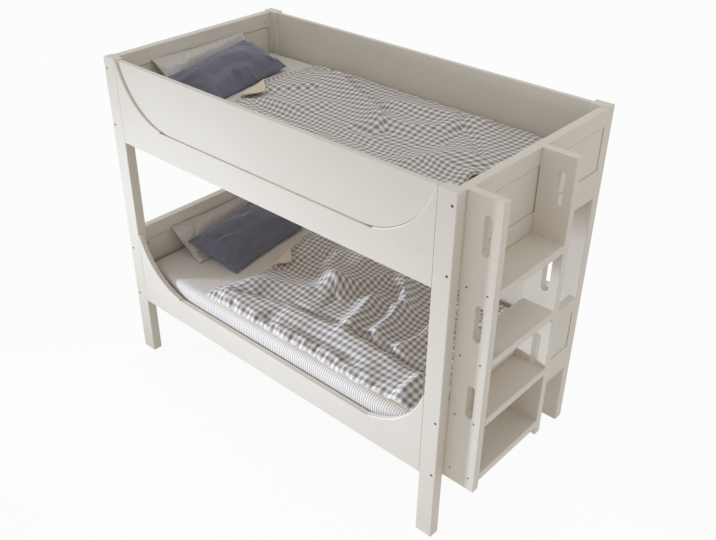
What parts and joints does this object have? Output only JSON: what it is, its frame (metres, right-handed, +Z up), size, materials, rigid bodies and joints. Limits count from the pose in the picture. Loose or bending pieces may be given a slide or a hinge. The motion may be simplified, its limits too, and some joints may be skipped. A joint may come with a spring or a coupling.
{
  "type": "bunk bed",
  "caption": "Painted wooden bunk bed with arched front brackets, panelled ends, an upper guard board and a fixed end ladder with hand slots, made up with loose bedding.",
  "frame": {"origin": "on the floor, under the middle of bed and ladder together", "axes": "+X along the bed towards the ladder end, +Y from the open front to the back board, +Z up"},
  "size_m": [2.233, 1.1, 1.712],
  "materials": {
    "painted_wood": "satin warm off-white paint",
    "bare_wood": "planed softwood",
    "fastener_steel": "zinc plated",
    "webbing": "woven tape",
    "mattress_cover": "fine striped cotton sheet",
    "grey_pillow_cover": "plain weave",
    "blue_pillow_cover": "velvet",
    "quilt_cover": "gingham check, plain beige underside"
  },
  "bodies": {
    "bed_frame": {"barrel_nuts": "fastener_steel", "bracket_dowels": "bare_wood", "cam_bolts": "fastener_steel", "cam_discs": "fastener_steel", "cleat_screws": "fastener_steel", "guard_screws": "fastener_steel", "ladder_screws": "fastener_steel", "ladder_side_far": "painted_wood", "ladder_side_near": "painted_wood", "ladder_tread_1": "painted_wood", "ladder_tread_2": "painted_wood", "ladder_tread_3": "painted_wood", "ladder_tread_4": "painted_wood", "lower_back_board": "painted_wood", "lower_bracket_left": "painted_wood", "lower_bracket_right": "painted_wood", "lower_foot_bottom_rail": "painted_wood", "lower_foot_panel": "painted_wood", "lower_foot_stiles": "painted_wood", "lower_foot_top_rail": "painted_wood", "lower_front_rail": "painted_wood", "lower_head_bottom_rail": "painted_wood", "lower_head_panel": "painted_wood", "lower_head_stiles": "painted_wood", "lower_head_top_rail": "painted_wood", "lower_slat_cleats": "bare_wood", "lower_slat_tapes": "webbing", "lower_slats": "bare_wood", "post_back_left": "painted_wood", "post_back_right": "painted_wood", "post_bolts": "fastener_steel", "post_front_left": "painted_wood", "post_front_right": "painted_wood", "tread_screws": "fastener_steel", "upper_back_board": "painted_wood", "upper_bracket_left": "painted_wood", "upper_bracket_right": "painted_wood", "upper_foot_bottom_rail": "painted_wood", "upper_foot_panel": "painted_wood", "upper_foot_stiles": "painted_wood", "upper_foot_top_rail": "painted_wood", "upper_front_rail": "painted_wood", "upper_guard_board": "painted_wood", "upper_head_bottom_rail": "painted_wood", "upper_head_panel": "painted_wood", "upper_head_stiles": "painted_wood", "upper_head_top_rail": "painted_wood", "upper_slat_cleats": "bare_wood", "upper_slat_tapes": "webbing", "upper_slats": "bare_wood"},
    "lower_mattress_body": {"lower_mattress": "mattress_cover"},
    "lower_grey_pillow_body": {"lower_grey_pillow": "grey_pillow_cover"},
    "lower_blue_pillow_body": {"lower_blue_pillow": "blue_pillow_cover"},
    "lower_quilt_body": {"lower_quilt": "quilt_cover"},
    "upper_mattress_body": {"upper_mattress": "mattress_cover"},
    "upper_grey_pillow_body": {"upper_grey_pillow": "grey_pillow_cover"},
    "upper_blue_pillow_body": {"upper_blue_pillow": "blue_pillow_cover"},
    "upper_quilt_body": {"upper_quilt": "quilt_cover"}
  },
  "joints": [
    {"name": "lower_mattress_lift", "type": "slide", "parent": "bed_frame", "child": "lower_mattress_body", "axis": [0, 0, 1], "range_m": [0, 0.18]},
    {"name": "lower_quilt_lift", "type": "slide", "parent": "lower_mattress_body", "child": "lower_quilt_body", "axis": [0, 0, 1], "range_m": [0, 0.15]},
    {"name": "lower_grey_pillow_lift", "type": "slide", "parent": "lower_mattress_body", "child": "lower_grey_pillow_body", "axis": [0, 0, 1], "range_m": [0, 0.12]},
    {"name": "lower_blue_pillow_lift", "type": "slide", "parent": "lower_grey_pillow_body", "child": "lower_blue_pillow_body", "axis": [0, 0, 1], "range_m": [0, 0.12]},
    {"name": "upper_mattress_lift", "type": "slide", "parent": "bed_frame", "child": "upper_mattress_body", "axis": [0, 0, 1], "range_m": [0, 0.18]},
    {"name": "upper_quilt_lift", "type": "slide", "parent": "upper_mattress_body", "child": "upper_quilt_body", "axis": [0, 0, 1], "range_m": [0, 0.15]},
    {"name": "upper_grey_pillow_lift", "type": "slide", "parent": "upper_mattress_body", "child": "upper_grey_pillow_body", "axis": [0, 0, 1], "range_m": [0, 0.12]},
    {"name": "upper_blue_pillow_lift", "type": "slide", "parent": "upper_grey_pillow_body", "child": "upper_blue_pillow_body", "axis": [0, 0, 1], "range_m": [0, 0.12]}
  ]
}
